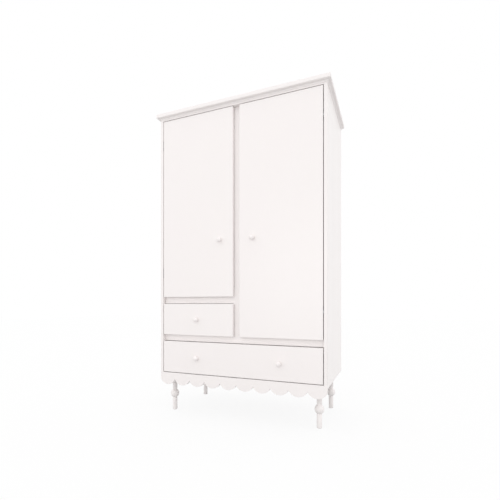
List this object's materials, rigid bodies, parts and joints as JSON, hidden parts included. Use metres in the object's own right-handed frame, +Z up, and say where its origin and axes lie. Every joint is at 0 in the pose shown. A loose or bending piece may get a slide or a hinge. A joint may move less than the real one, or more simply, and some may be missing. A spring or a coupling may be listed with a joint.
{
  "type": "wardrobe with doors",
  "caption": "Free-standing white wardrobe with unequal hinged doors, drawers below, a moulded cornice, a scalloped apron and turned legs.",
  "frame": {"origin": "centre of the bounding box's footprint, on the floor under the legs", "axes": "+Z up, +X to the right as seen from the front, +Y from the doors to the back; the doors face -Y"},
  "size_m": [1.08, 0.578, 1.866],
  "materials": {
    "white_lacquer": "smooth satin white lacquer on fibreboard",
    "white_hardboard": "matt white-faced hardboard",
    "zinc_steel": "zinc-plated steel"
  },
  "bodies": {
    "frame": {"side_panel_left": "white_lacquer", "side_panel_right": "white_lacquer", "bottom_panel": "white_lacquer", "top_panel": "white_lacquer", "back_panel": "white_hardboard", "lower_deck": "white_lacquer", "upper_deck": "white_lacquer", "divider_left": "white_lacquer", "divider_right": "white_lacquer", "lower_rail": "white_lacquer", "upper_rail": "white_lacquer", "centre_stile": "white_lacquer", "top_board": "white_lacquer", "cornice_cove": "white_lacquer", "scalloped_apron": "white_lacquer", "leg_front_left": "white_lacquer", "leg_front_right": "white_lacquer", "leg_back_left": "white_lacquer", "leg_back_right": "white_lacquer", "shelf_1": "white_lacquer", "shelf_2": "white_lacquer", "hanging_rail": "zinc_steel", "small_drawer_runner_left": "zinc_steel", "small_drawer_runner_right": "zinc_steel", "wide_drawer_runner_left": "zinc_steel", "wide_drawer_runner_right": "zinc_steel", "left_hinge_lower_frame_case": "zinc_steel", "left_hinge_upper_frame_case": "zinc_steel", "right_hinge_lower_frame_case": "zinc_steel", "right_hinge_upper_frame_case": "zinc_steel"},
    "left_door": {"left_door_panel": "white_lacquer", "left_door_knob": "white_lacquer", "left_hinge_lower_door_case": "zinc_steel", "left_hinge_upper_door_case": "zinc_steel"},
    "left_door_links": {"left_hinge_lower_link": "zinc_steel", "left_hinge_upper_link": "zinc_steel"},
    "right_door": {"right_door_panel": "white_lacquer", "right_door_knob": "white_lacquer", "right_hinge_lower_door_case": "zinc_steel", "right_hinge_upper_door_case": "zinc_steel"},
    "right_door_links": {"right_hinge_lower_link": "zinc_steel", "right_hinge_upper_link": "zinc_steel"},
    "small_drawer": {"small_drawer_front": "white_lacquer", "small_drawer_side_left": "white_lacquer", "small_drawer_side_right": "white_lacquer", "small_drawer_back": "white_lacquer", "small_drawer_bottom": "white_hardboard", "small_drawer_knob": "white_lacquer", "small_drawer_slide_left": "zinc_steel", "small_drawer_slide_right": "zinc_steel"},
    "wide_drawer": {"wide_drawer_front": "white_lacquer", "wide_drawer_side_left": "white_lacquer", "wide_drawer_side_right": "white_lacquer", "wide_drawer_back": "white_lacquer", "wide_drawer_bottom": "white_hardboard", "wide_drawer_knob_left": "white_lacquer", "wide_drawer_knob_right": "white_lacquer", "wide_drawer_slide_left": "zinc_steel", "wide_drawer_slide_right": "zinc_steel"}
  },
  "joints": [
    {"name": "left_door_swing", "type": "hinge", "parent": "frame", "child": "left_door", "pos_m": [-0.5, -0.261, 1.27], "axis": [0, 0, -1], "range_deg": [0, 95]},
    {"name": "left_link_swing", "type": "hinge", "parent": "frame", "child": "left_door_links", "pos_m": [-0.5, -0.261, 1.27], "axis": [0, 0, -1], "range_deg": [0, 48]},
    {"name": "right_door_swing", "type": "hinge", "parent": "frame", "child": "right_door", "pos_m": [0.5, -0.261, 1.27], "axis": [0, 0, 1], "range_deg": [0, 95]},
    {"name": "right_link_swing", "type": "hinge", "parent": "frame", "child": "right_door_links", "pos_m": [0.5, -0.261, 1.27], "axis": [0, 0, 1], "range_deg": [0, 48]},
    {"name": "small_drawer_slide", "type": "slide", "parent": "frame", "child": "small_drawer", "axis": [0, -1, 0], "range_m": [0, 0.34]},
    {"name": "wide_drawer_slide", "type": "slide", "parent": "frame", "child": "wide_drawer", "axis": [0, -1, 0], "range_m": [0, 0.34]}
  ],
  "couplings": [
    {"joint": "left_link_swing", "follows": "left_door_swing", "ratio": 0.5},
    {"joint": "right_link_swing", "follows": "right_door_swing", "ratio": 0.5}
  ]
}
